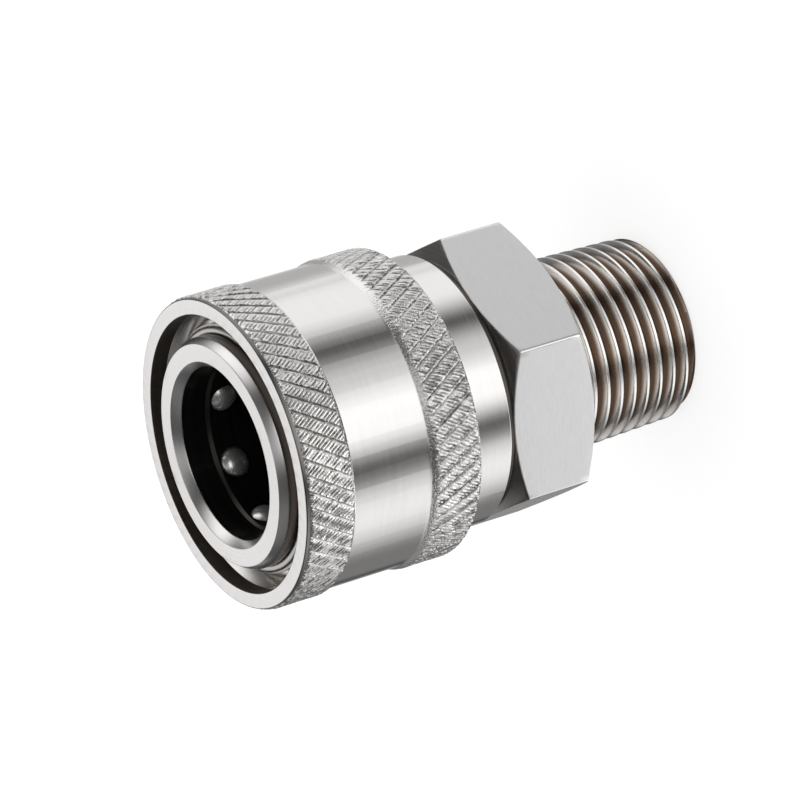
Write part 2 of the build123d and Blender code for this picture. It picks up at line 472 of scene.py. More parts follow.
# Corner between rim and knurl: a thin dull line of painted shade, where the knurling wheel has thrown up a
# burr.
edge_turning_painted_shade = turned_steel("turned edge with burr in painted shade", "#918D89", "#716D6A", 0.28)
# Relief beside the hexagon and upper nose wall: brownish grey, from shade and oil in a narrow gap.
gap_turning = turned_steel("turned stainless steel in shade", "#6E6762", "#4C4743", 0.28)

# %% [markdown]
# ## Milled flats
#
# The hexagon's flats look matt beside the turned parts, with faint strokes square to the axis. Noise squeezed
# to a fourteenth along the axis gives those strokes.

# %% Milled flats
# Flats: a calm light grey without clear reflections, because the strokes scatter what they mirror.
flat_milling = make_finish(
    "milled stainless steel", lambda tree: grain(tree, 0.9, scale=(1, 1, 14), detail=3.0),
    ("#FBFAFA", "#E6E5E5"), (0.45, 0.53), bump=0.25, Metallic=1.0,
)

# %% [markdown]
# ## Knurled and threaded steel
#
# Both are real relief in the mesh, and their roots carry painted shade. So each point carries how deep the
# tool went, from 0 at the top of the form to 1 at its root, and the colour darkens with it. Small tears are
# left to the bump.

# %% Knurled and threaded steel


def cut_steel(name, colours, roughness, grain_mm, bump, full=1.0):
    """Steel in the first colour at the top of the form, and in the second, a painted shade, where the cut
    reaches full.
    """
    def height(tree):
        cut = add(tree, "ShaderNodeAttribute", attribute_name="cut").outputs["Fac"]
        return add(tree, "ShaderNodeMapRange", {"Value": cut, "From Max": full, "To Min": 1.0, "To Max": 0.0})

    return make_finish(
        name, lambda tree: grain(tree, grain_mm, detail=3.0), colours, roughness, bump, depth_mm=0.06,
        tone=height, Metallic=1.0,
    )


# Knurl: bright torn faces that glitter, with grey painted shade in the deep lines.
knurling = cut_steel("knurled stainless steel", ("#F6F4F2", "#5C5855"), (0.16, 0.28), 0.16, 0.75)
# Thread: white lines along the crests, and flanks painted a brownish shade and warm reflection.
threading = cut_steel(
    "cut thread in stainless steel", ("#FFFDFA", "#96877B"), (0.14, 0.26), 0.4, 0.10, full=0.5,
)

# %% [markdown]
# ## Balls, wire and rubber
#
# Balls are ground and polished, spring wire is pulled through a die, and the seal is moulded. The balls could
# be perfect mirrors, but a film of grease scatters some of the light, so their metal share is below 1.

# %% Balls, wire and rubber
# Balls: a soft highlight on dark grey, from fine haze and grease.
ball_finish = make_finish(
    "ground ball steel", lambda tree: grain(tree, 0.3), ("#F6F5F3",), (0.21, 0.27), Metallic=0.9,
)
# Wire: a satin light grey with fine scratches, which here run round as rings.
wire_finish = make_finish(
    "drawn stainless spring wire", lambda tree: ring_marks(tree, 0.08), ("#DAD8D5", "#B8B5B1"), (0.20, 0.34),
    Metallic=1.0,
)
# Seal: black with a soft shine and a fine orange-peel, as new rubber has.
rubber_finish = make_finish(
    "moulded nitrile rubber", lambda tree: grain(tree, 0.15, detail=3.0), ("#17171A",), (0.42, 0.58),
    bump=0.2, IOR=1.52,
)

# %% [markdown]
# ## The knurl
#
# Two hard wheels press slanting lines into the sleeve while it turns, one set leaning left and one right.
# The coarse set leaves deep lines, and the fine set chops the strips between them into ticks. A bump map
# can't notch the band's edges or its outline, so the form is real. The grid is a lattice of the two sets:
# its columns lean with the deep lines and its rows with the ticks, so every edge that a wheel leaves lies on
# an edge of the mesh, and few faces are enough. Rows beyond the band's end are pressed onto its end circle.

# %% Knurl form
DEEP_LINES = 61
TICKS_PER_STRIP = 4
LINE_DEPTH = 0.17
LINE_SIDES = (0.10, 0.22)
TICK_HALF_WIDTH = 0.30
DARK_DEPTH = 0.24
FRONT_WEAR = (0.19, 0.05, 0.0)
REAR_WEAR = (0.15, 0.05, 0.06)
LIGHT_SIDE = 75
WORN_SIDE = 60
WORN_LOSS = 0.30
SKIPPED_MEAN, SKIPPED_SWING, SKIPPED_MOST = 0.45, 0.7, 0.85
TORN_STEP = (0.05, 0.22)
RANDOM_BLOCKS = 8192
BLOCKS_APART = 1046
STRIP = np.array([0.0, 0.05, 0.10, 0.24, 0.40, 0.56, 0.70, 0.88])
TICK = np.array([0.0, 0.22, 0.5, 0.78])
knurl_columns = (np.arange(DEEP_LINES)[:, None] + STRIP).ravel()
sleeve_columns = (np.arange(DEEP_LINES)[:, None] + STRIP[::2]).ravel() * 2 * np.pi / DEEP_LINES
print("knurl:", DEEP_LINES, "deep lines,", round(2 * np.pi * KNURL_RADIUS / DEEP_LINES, 2), "mm apart")


def pressed_depth(strip, tick, number, light, worn, wear, seed):
    """How far the wheels went in, in millimetres: a V at each deep line across a strip, a V at each tick
    along it, and between ticks a block at its own random height, as torn metal stands. Number tells the
    blocks apart. Where light is near 1 every second tick is hardly pressed, and where worn is low all ticks
    are shallow. Wear is the depth of ticks, of blocks and of scratches beside the lines."""
    rng = np.random.default_rng(seed)
    line, depth, height, side = rng.random((4, RANDOM_BLOCKS))[:, number % RANDOM_BLOCKS]
    tick_depth, block_step, scratch_depth = wear
    right, left = LINE_SIDES
    valley = np.clip(1 - np.where(strip < 0.5, strip / right, (1 - strip) / left), 0, 1)
    away = np.minimum(tick, 1 - tick)
    groove = np.clip(1 - away / TICK_HALF_WIDTH, 0, 1)
    # 1 along the middle of a strip and 0 beside its lines, with each block a little off centre
    across = np.clip(2.2 - np.abs(strip - 0.46 - 0.2 * (side - 0.5)) / 0.2, 0, 1)
    pressing = (0.45 + 0.55 * depth) * (1 - light * (number % 2)) * worn
    block = block_step * height * (away > 0.1) * across
    scratch = scratch_depth * (strip == STRIP[3]) * (line > 0.3)
    return np.maximum(
        LINE_DEPTH * (0.6 + 0.4 * line) * valley,
        tick_depth * pressing * groove * across + (block + scratch) * (1 - valley),
    )


def knurled_band(start, end, strips, shape, wear, seed):
    """One band between two depths behind the sleeve's front face, its deep lines leaning by a number of
    strips. A row keeps to one tick line, so on the next column it lies lower or higher by the share of a
    tick that the strip has gained, and by whole ticks it joins another row."""
    lean = strips / (end - start)
    rate = 2 * TICKS_PER_STRIP * lean
    side = np.sign(rate)
    gained = knurl_columns * TICKS_PER_STRIP
    whole = np.floor(gained + 1e-9)
    order = np.sort(side * TICK)
    ticks = np.arange(-3, int(abs(rate) * (end - start)) + 4)
    row = (ticks[:, None] + order).ravel()[:, None]
    depth = np.clip(start + (row - side * (gained - whole)) / abs(rate), start, end)
    angle = (knurl_columns + lean * (depth - start)) * 2 * np.pi / DEEP_LINES
    strip = np.broadcast_to(np.tile(STRIP, DEEP_LINES), depth.shape)
    phase = gained + rate * (depth - start)
    number = (np.floor(phase + 1e-6) + BLOCKS_APART * np.floor(knurl_columns + 1e-9)).astype(int)
    light = np.clip(SKIPPED_MEAN - SKIPPED_SWING * np.cos(angle - radians(LIGHT_SIDE)), 0, SKIPPED_MOST)
    worn = 1 - WORN_LOSS * np.clip(np.cos(angle - radians(WORN_SIDE)), 0, 1) ** 4
    pressed = pressed_depth(strip, np.mod(phase, 1.0), number, light, worn, wear, seed)
    turned = shape(depth, seed)
    radius = np.minimum(KNURL_RADIUS - pressed, turned)
    # The depth of the cut below the turned surface sets the knurl's painted shade.
    depth_share = np.clip((turned - radius) / DARK_DEPTH, 0, 1)
    grid = polar(radius, angle, front_z - depth, depth_share)[::-1]
    jump = np.diff(np.append(whole, TICKS_PER_STRIP * DEEP_LINES)).astype(int)
    return grid, (side * jump * len(TICK)).astype(int)


# %% [markdown]
# ## The sleeve
#
# The sleeve is one turned piece: rim, knurled band, smooth waist, a cone up to the second band, and inside it
# the mouth cone, the land that holds the balls in, and the room for the spring. One spun profile would need
# the knurl's many columns everywhere, so the plain parts have half of them and a bridge joins the two.

# %% Sleeve skin
SKIN, FACE, INSIDE, KNURL, CONE, EDGE = range(6)
RIM_ROUND = 0.07
INNER_ROUND = 0.06
REAR_FACE_WIDTH = 0.45
JOINT_ROW = 0.25
STEP_ROW = 0.01
CONE_EDGE = (0.03, 0.05)


def bridge(fine, coarse, finish):
    """Faces up from a ring to one with half its columns: three triangles for each coarse column, written as
    quads that weld() folds. A leaning band's end ring starts some columns further round, so it is turned
    back first."""
    angle = np.arctan2(fine[:, 1], fine[:, 0]) % (2 * np.pi)
    fine = fine[np.argsort(np.round(angle, 6) % round(2 * np.pi, 6))]
    count = len(coarse)
    points = np.vstack([fine, coarse])
    f = np.arange(0, 2 * count, 2)
    c = np.arange(count) + 2 * count
    f1, f2, c1 = f + 1, (f + 2) % (2 * count), np.roll(c, -1)
    quads = np.vstack([
        np.stack([f, f1, c, c], axis=-1),
        np.stack([f1, c1, c, c], axis=-1),
        np.stack([f1, f2, c1, c1], axis=-1),
    ])
    return points, quads, finish


def front_band_shape(depth, seed):
    """Turned radius along the front band: a torn step up from the rim, full, then a bevel to the waist."""
    torn = TORN_STEP[0] + TORN_STEP[1] * np.random.default_rng(seed + 1).random(depth.shape[1])
    step = RIM_RADIUS + (depth - RIM_LENGTH) * (KNURL_RADIUS - RIM_RADIUS) / torn
    bevel = KNURL_RADIUS - (depth - FRONT_BAND_END) * (KNURL_RADIUS - WAIST_RADIUS) / BEVEL_LENGTH
    return np.minimum(np.minimum(step, KNURL_RADIUS), bevel)


def rear_band_shape(depth, seed):
    """Turned radius along the rear band: a cone up from the waist, full, then a narrow bevel."""
    rise = (KNURL_RADIUS - WAIST_RADIUS) * (depth - waist_bottom) / FLARE_LENGTH
    edge = KNURL_RADIUS - (depth - rear_band_full)
    return np.minimum(np.minimum(WAIST_RADIUS + rise, KNURL_RADIUS), edge)


def sleeve_skin():
    """All patches of the sleeve."""
    front, front_climb = knurled_band(RIM_LENGTH, front_band_bottom, -2.0, front_band_shape, FRONT_WEAR, 5)
    rear, rear_climb = knurled_band(waist_bottom, rear_band_bottom, 2.0, rear_band_shape, REAR_WEAR, 9)
    mouth_end = front_z - MOUTH_DEPTH
    cone_end = mouth_end - MOUTH_CONE
    waist = spin([
        (WAIST_RADIUS, front_z - waist_bottom + JOINT_ROW),
        (WAIST_RADIUS, front_z - front_band_bottom - JOINT_ROW),
    ], sleeve_columns)
    rim = spin(rounded([
        (RIM_RADIUS, front_z - RIM_LENGTH + STEP_ROW),
        (RIM_RADIUS, front_z - RIM_CHAMFER),
        (RIM_RADIUS - RIM_CHAMFER, front_z),
        (MOUTH_RADIUS, front_z),
        (MOUTH_RADIUS, mouth_end),
    ], RIM_ROUND), sleeve_columns)
    cone = spin([
        (MOUTH_RADIUS, mouth_end),
        (MOUTH_RADIUS - CONE_EDGE[0], mouth_end - CONE_EDGE[1]),
        (MOUTH_RADIUS - MOUTH_CONE + CONE_EDGE[0], cone_end + CONE_EDGE[0]),
        (MOUTH_RADIUS - MOUTH_CONE, cone_end),
        (CATCH_RADIUS, cone_end),
    ], sleeve_columns)
    inner = spin(rounded([
        (CATCH_RADIUS, cone_end),
        (LAND_RADIUS, land_top),
        (LAND_RADIUS, land_bottom),
        (SLEEVE_BORE_RADIUS, land_bottom),
        (SLEEVE_BORE_RADIUS, rear_z + REAR_CHAMFER),
        (SLEEVE_BORE_RADIUS + REAR_CHAMFER, rear_z),
        (KNURL_RADIUS - REAR_FACE_WIDTH, rear_z),
    ], INNER_ROUND), sleeve_columns)
    level = np.nonzero(rim[:, 0, 2] > front_z - 1e-6)[0]
    start, split = level[0], level[-1] + 1
    return [
        patch(front, KNURL, front_climb),
        patch(rear, KNURL, rear_climb),
        bridge(rear[-1], waist[0], SKIN),
        patch(waist, SKIN),
        flipped(bridge(front[0], waist[1], SKIN)),
        bridge(front[-1], rim[0], EDGE),
        patch(rim[:start + 1], EDGE),
        patch(rim[start:split], FACE),
        patch(rim[split - 1:], INSIDE),
        patch(cone, CONE),
        patch(inner, INSIDE),
        flipped(bridge(rear[0], inner[-1], FACE)),
    ]


sleeve = make_piece("sleeve_skin", sleeve_skin(), [
    polished_turning, face_turning, inside_turning_painted_shade, knurling, cone_turning, edge_turning_painted_shade,
], crease=SHARP_BEND)
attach(sleeve, "sleeve")
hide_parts("sleeve")

# %% [markdown]
# ## The body
#
# The body is turned from a hexagonal bar, and it is one piece from the nose to the thread. All its surfaces
# share one set of columns, with a few more at the hexagon's corners, so that they weld without gaps.

# %% Columns and finishes of the body
POLISHED, FACED, MILLED, BORED, THREADED, BEVELLED, SHADED = range(7)
STEP_DEGREES = 2.5
CORNER_COLUMNS = np.array([-0.95, -0.52, -0.26, 0.26, 0.52, 0.95])
corner_columns = (np.arange(0, 360, 60)[:, None] + CORNER_COLUMNS).ravel() % 360
body_columns = np.radians(np.sort(np.concatenate([np.arange(0, 360, STEP_DEGREES), corner_columns])))
print("body:", len(body_columns), "columns")

# %% [markdown]
# ## The thread
#
# A stack of rings would look like a thread only at a glance, because a thread is a helix. Here the grid
# climbs one pitch in each turn and every row keeps to one place of the thread form, so crests and roots stay
# sharp. At the ends the grid is cut off level, by moving what lies beyond onto the end plane and welding it.

# %% Thread
HALF_FORM = np.array([0.0, 0.08, 0.11, 0.14, 0.27, 0.42, 0.57, 0.66, 0.69])


def thread_surface():
    """Rows follow the helix. With p the distance along the axis from a crest's middle and w the crest's
    width, the flank falls by (p - w/2) / (root - w/2) of the full depth. Taper and end chamfer limit the
    radius. Rows beyond an end lie on it, and take the form's depth there."""
    form = np.concatenate([-HALF_FORM[:0:-1], HALF_FORM])
    lead = np.arange(-2, int(THREAD_TOP / PITCH) + 3)[:, None] * PITCH
    turns = body_columns / (2 * np.pi)
    height = (FIRST_CREST_Z + lead + form).ravel()[:, None] + turns * PITCH
    level = np.clip(height, 0, THREAD_TOP)
    phase = np.abs(np.mod(level - FIRST_CREST_Z - turns * PITCH + PITCH / 2, PITCH) - PITCH / 2)
    share = np.clip((phase - CREST_WIDTH / 2) / (HALF_FORM[-1] - CREST_WIDTH / 2), 0, 1)
    radius = THREAD_END_RADIUS + THREAD_TAPER * level - THREAD_DEPTH * share
    chamfer = THREAD_END_RADIUS - THREAD_CHAMFER + level
    # The end chamfer takes the full cut share, so it gets the dark painted shade of the roots.
    grid = polar(np.minimum(radius, chamfer), body_columns, level, np.where(radius < chamfer, share, 1.0))
    climb = np.zeros(len(body_columns), int)
    climb[-1] = len(form)
    return grid, climb


print("thread:", thread_surface()[0].shape[0], "rows")

# %% [markdown]
# ## The hexagon
#
# Six flats with worn corners, and a turned chamfer at each end. A prism cut with a cone would do, but the
# curve where they meet would catch no light. Here the rows are laid along that curve and round it off.

# %% Hexagon
CURVE_ROUND = 0.07
FLAT_ROWS = (0.25, 0.5, 0.75)


def hexagon_radius(angle):
    """Distance from the axis to the hexagon's side at an angle. Each corner is rounded by an arc of radius r,
    which reaches 0.5 r to both sides of the corner's line and starts 0.29 r below the sharp corner."""
    offset = np.mod(angle + np.pi / 6, np.pi / 3) - np.pi / 6
    side = HEX_APOTHEM / np.cos(np.pi / 6 - np.abs(offset))
    centre = (HEX_APOTHEM - HEX_EDGE_RADIUS) / np.cos(np.pi / 6)
    inside = np.maximum(HEX_EDGE_RADIUS**2 - (centre * np.sin(offset)) ** 2, 0)
    arc = centre * np.cos(offset) + np.sqrt(inside)
    reach = np.arctan2(0.5 * HEX_EDGE_RADIUS, HEX_APOTHEM / np.cos(np.pi / 6) - 0.29 * HEX_EDGE_RADIUS)
    return np.where(np.abs(offset) < reach, np.minimum(arc, side), side)


def hexagon_rows():
    """Rows from the lower chamfer to the upper one, with a narrow round along the curve where a chamfer meets
    the sides."""
    side = hexagon_radius(body_columns)
    corner = (side - CHAMFER_RADIUS) * CHAMFER_SLOPE
    rows = []
    for share in (0.0, 0.4, 0.8, 1.0):
        out = share * (side - CHAMFER_RADIUS - CURVE_ROUND)
        rows.append((CHAMFER_RADIUS + out, THREAD_TOP + out * CHAMFER_SLOPE))
    rows.append((side - 0.25 * CURVE_ROUND, THREAD_TOP + corner + 0.15 * CURVE_ROUND))
    rows.append((side, THREAD_TOP + corner + CURVE_ROUND))
    upper = [(r, THREAD_TOP + HEX_TOP - z) for r, z in rows[::-1]]
    middle = [(side, THREAD_TOP + s * (HEX_TOP - THREAD_TOP)) for s in FLAT_ROWS]
    return np.stack([polar(r, body_columns, z) for r, z in rows + middle + upper])


def worn_edges(piece, edge_finish):
    """The hexagon's flats as two patches: the columns on its rounded edges get another finish."""
    points, quads, flat_finish = piece
    offset = np.mod(body_columns + np.pi / 6, np.pi / 3) - np.pi / 6
    half = np.radians(CORNER_COLUMNS[-2])
    edge = (offset > -half - 1e-6) & (offset < half - 1e-6)
    quads = quads.reshape(-1, len(edge), 4)
    return [
        (points, quads[:, ~edge].reshape(-1, 4), flat_finish),
        (points, quads[:, edge].reshape(-1, 4), edge_finish),
    ]


print("hexagon:", round(2 * float(hexagon_radius(0.0)), 2), "across its worn corners")

# %% [markdown]
# ## The ball holes
#
# Eight holes go through the nose's wall, each narrower inside, so that a ball looks into the bore but can't
# fall through. A Boolean would leave long thin triangles round each hole. Instead the wall has a square
# frame left open for each one, and a patch of its own leads from the frame to the hole's rim.

# %% Ball holes
FRAME_MARGIN = 0.11
FRAME_ROWS = 8
FRAME_RADIUS = 8.9
OUTER_FRAME_DROP = 2.15
INNER_FRAME_DROP = 1.75
patch_steps = np.linspace(0, 1, 6)[:, None] ** 1.3


def sector_columns(index):
    """Columns of the body from half way to the ball before to half way to the ball after."""
    middle = np.radians(FIRST_BALL_ANGLE + index * 360 / BALL_COUNT)
    offset = np.mod(body_columns - middle + np.pi, 2 * np.pi) - np.pi
    half = np.pi / BALL_COUNT + 1e-9
    return middle, np.sort(offset[np.abs(offset) <= half])


def hole_rim(direction, wall):
    """How far from the hole's middle its rim lies on a wall of this radius. In the seat the hole narrows
    with the depth, and the depth of the rim follows from its size, so the two are found in a few rounds."""
    size = np.full_like(direction, HOLE_RADIUS)
    if wall < SEAT_HEIGHT:
        for _ in range(8):
            depth = np.sqrt(wall**2 - (size * np.cos(direction)) ** 2)
            size = HOLE_RADIUS - (SEAT_HEIGHT - depth) * SEAT_SLOPE
    return size


def ball_hole(index, outer_frame, inner_frame):
    """A patch of the tube's wall, the hole's own wall, and a patch of the bore. Each patch goes from its
    frame to the rim: place = frame + (rim - frame) * t. Both rims keep the directions of the outer frame's
    points, so that the hole's wall runs straight."""
    middle, columns = sector_columns(index)
    share = np.linspace(0, 1, FRAME_ROWS + 1)[1:-1]
    side, level = np.ones_like(share), np.zeros_like(columns)
    angle = np.concatenate([columns, columns[-1] * side, columns[::-1], columns[0] * side])
    rise = np.concatenate([level, share, level + 1, share[::-1]])
    low, high = outer_frame
    direction = np.arctan2(low + (high - low) * rise - ball_z, angle * FRAME_RADIUS)
    patches, rims = [], []
    for (low, high), wall in ((outer_frame, TUBE_RADIUS), (inner_frame, BORE_RADIUS)):
        height = low + (high - low) * rise
        size = hole_rim(direction, wall)
        across, up = size * np.cos(direction), size * np.sin(direction)
        rim_angle = np.arcsin(across / wall)
        turned = middle + angle + (rim_angle - angle) * patch_steps
        grid = polar(wall, turned, height + (ball_z + up - height) * patch_steps)
        patches.append(patch(grid, POLISHED) if wall == TUBE_RADIUS else patch(grid[::-1], BORED))
        rims.append((across, up, wall * np.cos(rim_angle)))
    outer, inner = rims
    bend = np.full_like(direction, SEAT_HEIGHT)
    seat = (HOLE_RADIUS * np.cos(direction), HOLE_RADIUS * np.sin(direction), bend)
    rings = []
    for start, end, shares in ((outer, seat, (0.0, 0.5)), (seat, inner, (0.0, 0.5, 1.0))):
        for share in shares:
            across, up, depth = [(1 - share) * a + share * b for a, b in zip(start, end)]
            rings.append(polar(np.hypot(depth, across), middle + np.arctan2(across, depth), ball_z + up))
    patches.append(patch(np.stack(rings), BORED))
    return patches


print("ball holes:", BALL_COUNT, "with", len(sector_columns(0)[1]), "columns each")

# %% [markdown]
# ## The body's skin
#
# What is left is turned: profiles of radius and height, spun round the axis. No turned edge is quite sharp,
# so every corner is rounded by less than 0.1 mm. Where the tool changed, the finish does too, and the relief
# and the upper nose wall get painted shade.

# %% Body skin
TURNED_ROUND = 0.08
NOSE_ROUND = 0.06
FOOT_MARGIN = 0.1


def nearest_row(profile, radius, height):
    """The row of a profile that lies nearest to a place."""
    return np.argmin(np.abs(profile[:, 0] - radius) + np.abs(profile[:, 1] - height))


def body_skin():
    """All patches of the body."""
    thread, climb = thread_surface()
    hexagon = hexagon_rows()
    groove_half = (ring_high[2] - ring_low[2]) / 2 + RING_CLEARANCE
    groove_low, groove_high = ring_z - groove_half, ring_z + groove_half
    wall_top = groove_low - FRAME_MARGIN
    entry_end = nose_z - ENTRY_DEPTH
    bore_start = entry_end - (ENTRY_RADIUS - BORE_RADIUS)
    bore_top = bore_start - FRAME_MARGIN
    chamfer_top = nose_z - NOSE_CHAMFER[1]
    seal_top = nose_z - SEAL_GROOVE_DEPTH
    seal_bottom = seal_top - SEAL_GROOVE_WIDTH
    seal_bore_end = nose_z - SEAL_BORE_DEPTH
    outside = rounded([
        (CHAMFER_RADIUS, HEX_TOP),
        (CHAMFER_RADIUS, RELIEF_TOP),
        (BARREL_RADIUS, RELIEF_TOP),
        (BARREL_RADIUS, BARREL_TOP),
        (TUBE_RADIUS, BARREL_TOP),
        (TUBE_RADIUS, ball_z - OUTER_FRAME_DROP),
    ], TURNED_ROUND)
    nose = rounded([
        (TUBE_RADIUS, wall_top),
        (TUBE_RADIUS, groove_low),
        (RING_GROOVE_RADIUS, groove_low),
        (RING_GROOVE_RADIUS, groove_high),
        (TUBE_RADIUS, groove_high),
        (TUBE_RADIUS, chamfer_top),
        (TUBE_RADIUS - NOSE_CHAMFER[0], nose_z),
        (ENTRY_RADIUS + MOUTH_CHAMFER[0], nose_z),
        (ENTRY_RADIUS, nose_z - MOUTH_CHAMFER[1]),
        (ENTRY_RADIUS, entry_end),
        (BORE_RADIUS, bore_start),
        (BORE_RADIUS, bore_top),
    ], NOSE_ROUND)
    bore = rounded([
        (BORE_RADIUS, ball_z - INNER_FRAME_DROP),
        (BORE_RADIUS, nose_z - BORE_DEPTH),
        (SEAL_BORE_RADIUS, nose_z - BORE_DEPTH - (BORE_RADIUS - SEAL_BORE_RADIUS)),
        (SEAL_BORE_RADIUS, seal_top),
        (SEAL_GROOVE_RADIUS, seal_top),
        (SEAL_GROOVE_RADIUS, seal_bottom),
        (SEAL_BORE_RADIUS, seal_bottom),
        (SEAL_BORE_RADIUS, seal_bore_end),
        (WATER_RADIUS, seal_bore_end - (SEAL_BORE_RADIUS - WATER_RADIUS)),
        (WATER_RADIUS, WATER_CHAMFER),
        (WATER_RADIUS + WATER_CHAMFER, 0),
        (THREAD_END_RADIUS - THREAD_CHAMFER - FOOT_MARGIN, 0),
    ], TURNED_ROUND)
    relief_row = np.nonzero(outside[:, 1] < RELIEF_TOP + 1e-6)[0][-1]
    wall_row = nearest_row(nose, TUBE_RADIUS, chamfer_top)
    mouth_row = nearest_row(nose, ENTRY_RADIUS, nose_z - MOUTH_CHAMFER[1] - NOSE_ROUND)
    outside, nose, bore = (spin(profile, body_columns) for profile in (outside, nose, bore))
    patches = [
        patch(thread, THREADED, climb),
        patch(np.stack([thread[-1], hexagon[0]]), FACED),
        patch(hexagon[:4], BEVELLED),
        *worn_edges(patch(hexagon[3:-3], MILLED), POLISHED),
        patch(hexagon[-4:], BEVELLED),
        patch(outside[:relief_row + 1], SHADED),
        patch(outside[relief_row:], POLISHED),
        patch(nose[:wall_row + 1], SHADED),
        patch(nose[wall_row:mouth_row + 1], FACED),
        patch(nose[mouth_row:], BORED),
        patch(bore, BORED),
        patch(np.stack([bore[-1], thread[0]]), FACED),
    ]
    outer_frame = (ball_z - OUTER_FRAME_DROP, wall_top)
    inner_frame = (ball_z - INNER_FRAME_DROP, bore_top)
    for index in range(BALL_COUNT):
        patches += ball_hole(index, outer_frame, inner_frame)
    return patches


body = make_piece("body_skin", body_skin(), [
    polished_turning, face_turning, flat_milling, bore_turning, threading, chamfer_turning, gap_turning,
], crease=SHARP_BEND)
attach(body, "connector")
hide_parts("body")

# %% [markdown]
# ## Balls
#
# A ball's grid runs from pole to pole along the connector's axis. So both poles are out of sight in the seat,
# and each pole row is a single point that the weld closes.

# %% Balls
BALL_ROWS, BALL_COLUMNS = 25, 48


def ball_skin(centre):
    """A sphere: rows are latitudes from pole to pole, columns are longitudes."""
    latitude = np.linspace(-np.pi / 2, np.pi / 2, BALL_ROWS)
    longitude = np.linspace(0, 2 * np.pi, BALL_COLUMNS, endpoint=False)
    circle = np.stack([np.cos(latitude), np.sin(latitude)], axis=-1)
    grid = spin(BALL_RADIUS * circle, longitude)
    grid[..., :3] += centre
    return [patch(grid, 0)]


for index in range(BALL_COUNT):
    node = f"locking_ball_{index + 1}"
    low, high = box_mm(node)
    ball = make_piece(f"{node}_skin", ball_skin((low + high) / 2), [ball_finish])
    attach(ball, f"ball_{index + 1}")
    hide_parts(node)

# %% [markdown]
# ## Wires and seal
#
# The retaining ring is a split ring of round wire, and the spring is a coil with its end turns laid flat. A
# curve with a bevel would give the same tubes, but with flat ends, and cut wire has its ends broken round.

# %% Wires
WIRE_COLUMNS = 20
END_RINGS = 6


def wire(path, radius):
    """A tube along a path: at each point a circle of cos a * outward + sin a * sideways, square to the path.
    At both ends the circles shrink as cos b while they move on by sin b, which rounds the wire off."""
    forward = np.gradient(path, axis=0)
    forward /= np.linalg.norm(forward, axis=1)[:, None]
    outward = path * (1, 1, 0)
    outward -= (outward * forward).sum(axis=1)[:, None] * forward
    outward /= np.linalg.norm(outward, axis=1)[:, None]
    sideways = np.cross(forward, outward)
    bend = np.linspace(0, np.pi / 2, END_RINGS)
    last = len(path) - 1
    at = np.concatenate([np.zeros(END_RINGS, int), np.arange(1, last), np.full(END_RINGS, last)])
    step = np.concatenate([-np.sin(bend[::-1]), np.zeros(last - 1), np.sin(bend)])
    size = np.concatenate([np.cos(bend[::-1]), np.ones(last - 1), np.cos(bend)])
    around = np.linspace(0, 2 * np.pi, WIRE_COLUMNS, endpoint=False)[:, None]
    circle = np.cos(around) * outward[at][:, None] + np.sin(around) * sideways[at][:, None]
    centre = path[at] + radius * step[:, None] * forward[at]
    grid = np.zeros((len(at), WIRE_COLUMNS, 4))
    grid[..., :3] = centre[:, None] + radius * size[:, None, None] * circle
    return [patch(grid, 0)]


RING_GAP = np.radians(24)
RING_END = 0.057
RING_WIRE = 0.60
SPRING_WIRE = 0.60
SPRING_TURNS = 2.75
END_TURNS = 0.75
SLOW_ENDS = 0.35


def ring_path():
    """The retaining ring's middle line: a circle with a gap, shorter at both ends by the wire's round."""
    radius = ring_high[0] - RING_WIRE
    angle = np.linspace(RING_END, 2 * np.pi - RING_GAP - RING_END, 220)
    return polar(radius, angle, ring_z)[:, :3]


def spring_path():
    """The spring's middle line: flat for part of a turn at each end, and rising between. With s the share of
    the way and q the slow ends' share, the rise is (1 - q) s + q s s (3 - 2 s)."""
    radius = spring_high[0] - SPRING_WIRE
    angle = np.linspace(0, 2 * np.pi * SPRING_TURNS, 400)
    turn = angle / (2 * np.pi)
    low, high = spring_low[2] + SPRING_WIRE, spring_high[2] - SPRING_WIRE
    rise = (turn - END_TURNS / 2) / (SPRING_TURNS - END_TURNS)
    share = np.clip(rise, 0, 1)
    smooth = share * share * (3 - 2 * share)
    height = low + (high - low) * (SLOW_ENDS * smooth + (1 - SLOW_ENDS) * share)
    return polar(radius, angle, height)[:, :3]


def seal_skin():
    """The O-ring: a closed ring of round section."""
    section = (seal_high[2] - seal_low[2]) / 2
    middle = seal_high[0] - section
    around = np.linspace(0, 2 * np.pi, 25)
    profile = np.stack([middle + section * np.cos(around), seal_z + section * np.sin(around)], axis=-1)
    return [patch(spin(profile, np.linspace(0, 2 * np.pi, 120, endpoint=False)), 0)]


ring = make_piece("retaining_ring_skin", wire(ring_path(), RING_WIRE), [wire_finish])
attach(ring, "connector")
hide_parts("retaining_ring")

seal = make_piece("o_ring_skin", seal_skin(), [rubber_finish])
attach(seal, "connector")
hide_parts("o_ring")

spring = make_piece("spring_skin", wire(spring_path(), SPRING_WIRE), [wire_finish])
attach(spring, "spring")
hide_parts("sleeve_spring")
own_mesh(spring)

# %% [markdown]
# ## Studio
#
# Polished metal shows its surroundings, so the picture's grey bands are made by the studio: large soft
# lights with dark gaps between them, set round the object. Lamps would also cast shadows and brighten the
# floor, so the lights live in the world shader, and only mirror rays see them. All else sees an even white.

